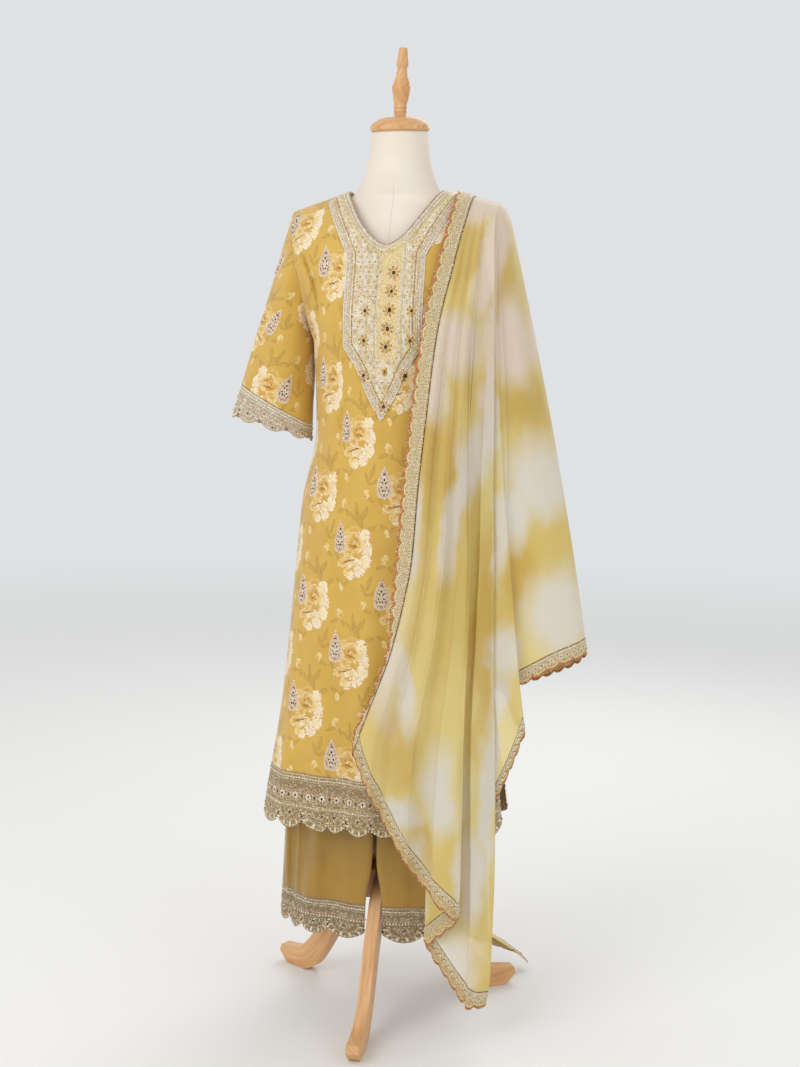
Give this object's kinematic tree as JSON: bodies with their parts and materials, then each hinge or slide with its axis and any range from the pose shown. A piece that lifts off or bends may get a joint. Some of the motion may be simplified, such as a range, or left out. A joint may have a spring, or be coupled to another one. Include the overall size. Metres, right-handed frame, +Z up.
{
  "type": "salwar kameez suit on dress form",
  "caption": "Long printed kameez with beaded neck yoke, wide plain trousers and a draped sheer dupatta, shown on a limbless dress form with a wooden tripod stand.",
  "frame": {"origin": "on the floor, at the middle of the bounding box seen from above; the pole stands 27 mm towards -X and 31 mm towards +Y of it", "axes": "+Z up, the front of the suit faces -Y, the wearer's left side is +X"},
  "size_m": [0.6516, 0.467, 1.7098],
  "materials": {
    "kameez_print": "matte printed silk",
    "zari_trim": "beaded metallic-thread trim",
    "trouser_silk": "soft satin silk",
    "dupatta_chiffon": "sheer chiffon",
    "form_jersey": "matte jersey",
    "stand_wood": "satin varnish"
  },
  "bodies": {
    "root": {"kameez_back": "kameez_print", "kameez_front": "kameez_print", "sleeve_left": "kameez_print", "sleeve_right": "kameez_print", "cuff_left": "zari_trim", "cuff_right": "zari_trim", "dupatta_back_edge": "zari_trim", "dupatta_back_end": "zari_trim", "dupatta_front_edge": "zari_trim", "dupatta_front_end": "zari_trim", "dupatta_side_trim": "zari_trim", "kameez_hem_back": "zari_trim", "kameez_hem_front": "zari_trim", "neck_yoke": "zari_trim", "trouser_hem_left": "zari_trim", "trouser_hem_right": "zari_trim", "trouser_left": "trouser_silk", "trouser_right": "trouser_silk", "trouser_waistband": "trouser_silk", "dupatta_back": "dupatta_chiffon", "dupatta_front": "dupatta_chiffon", "dupatta_side": "dupatta_chiffon", "form_torso": "form_jersey", "finial": "stand_wood", "neck_cap": "stand_wood", "stand_column": "stand_wood", "stand_leg_front": "stand_wood", "stand_leg_rear_left": "stand_wood", "stand_leg_rear_right": "stand_wood"}
  },
  "joints": []
}
